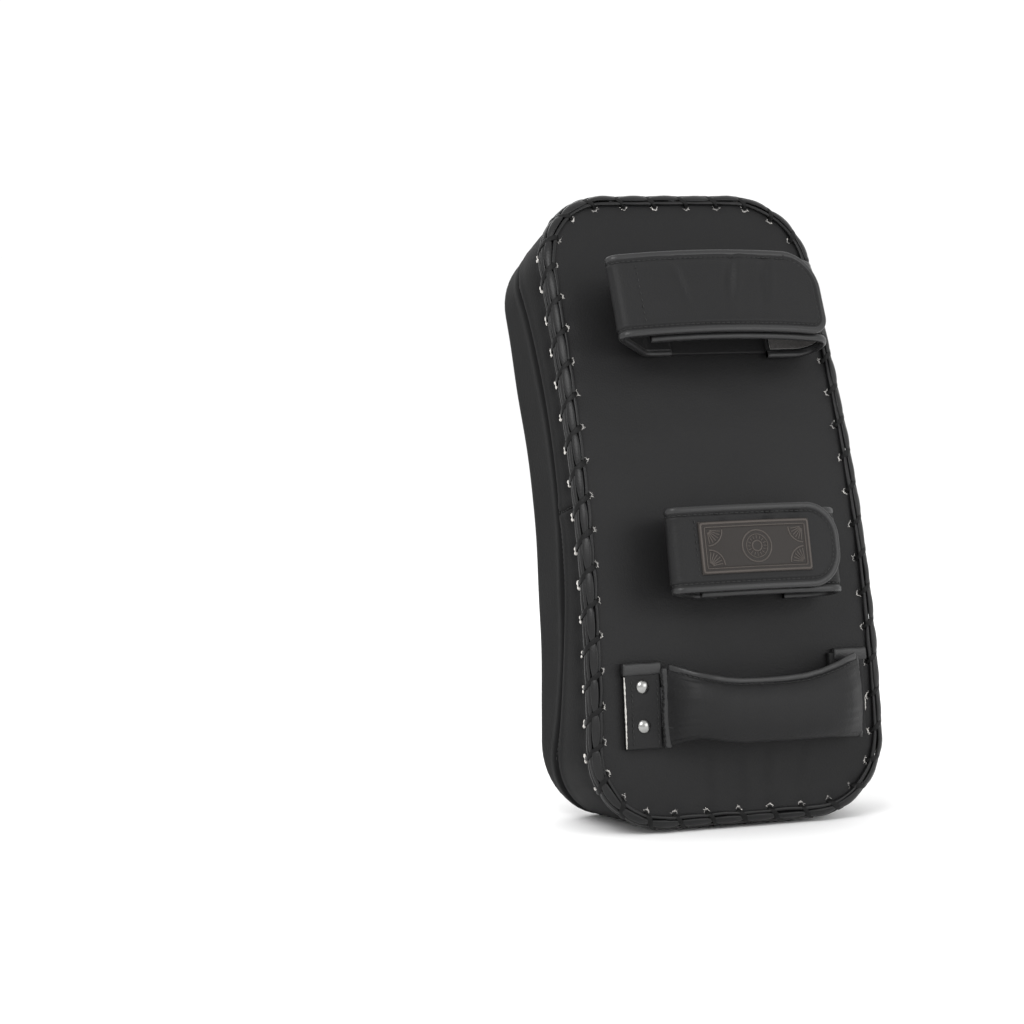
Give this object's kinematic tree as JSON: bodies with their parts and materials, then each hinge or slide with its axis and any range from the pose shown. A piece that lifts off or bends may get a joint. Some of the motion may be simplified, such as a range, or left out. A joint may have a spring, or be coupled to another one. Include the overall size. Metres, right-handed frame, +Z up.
{
  "type": "thai pad",
  "caption": "Curved, hand-laced striking pad held on the forearm, with a riveted hand grip and two hook-and-loop arm straps, standing on its grip end.",
  "frame": {"origin": "middle of the bounding box in plan, on the floor the pad stands on", "axes": "+Z up along the pad from its grip end to its elbow end, -Y out of the side with the straps, +X across the pad towards the tips of the straps' flaps"},
  "size_m": [0.2063, 0.2116, 0.3937],
  "materials": {
    "leather": "matte grained, near black",
    "wall_leather": "matte grained, near black",
    "lace": "satin, near black",
    "binding": "satin, near black",
    "badge_leather": "matte, dark brownish",
    "lining": "brushed, dark grey-brown",
    "loop_pile": "fuzzy, black",
    "hook_tape": "woven, black",
    "foam": "closed-cell foam, dark grey",
    "webbing": "woven, black",
    "nickel": "polished",
    "burr_brass": "plain"
  },
  "bodies": {
    "pad": {"back_panel": "leather", "lower_gusset": "wall_leather", "upper_gusset": "wall_leather", "strike_panel": "wall_leather", "foam_firm": "foam", "foam_middle": "foam", "foam_strike": "foam", "lace_strands": "lace", "lace_wraps": "lace", "handle_grip": "leather", "handle_padding": "foam", "handle_welt": "binding", "handle_webbing": "webbing", "handle_tab_left": "leather", "handle_tab_right": "leather", "handle_tab_bindings": "binding", "handle_rivets": "nickel", "rivet_burrs": "burr_brass", "backing_patch_left": "webbing", "backing_patch_right": "webbing", "forearm_base_patch": "leather", "forearm_flap_root": "leather", "forearm_under_strap": "leather", "forearm_strap_bindings": "binding", "forearm_lining": "lining", "forearm_loop_tape": "loop_pile", "wrist_base_patch": "leather", "wrist_flap_root": "leather", "wrist_under_strap": "leather", "wrist_strap_bindings": "binding", "wrist_lining": "lining", "wrist_loop_tape": "loop_pile"},
    "forearm_flap": {"forearm_flap": "leather", "forearm_flap_binding": "binding", "forearm_hook_tape": "hook_tape"},
    "wrist_flap": {"wrist_flap": "leather", "wrist_flap_binding": "binding", "wrist_hook_tape": "hook_tape", "wrist_badge": "badge_leather"}
  },
  "joints": [
    {"name": "forearm_flap_hinge", "type": "hinge", "parent": "pad", "child": "forearm_flap", "pos_m": [-0.059, -0.03698, 0.33055], "axis": [0, -0.4152, -0.9097], "range_deg": [0, 135]},
    {"name": "wrist_flap_hinge", "type": "hinge", "parent": "pad", "child": "wrist_flap", "pos_m": [-0.047, -0.09124, 0.17642], "axis": [0, -0.234, -0.9722], "range_deg": [0, 135]}
  ]
}
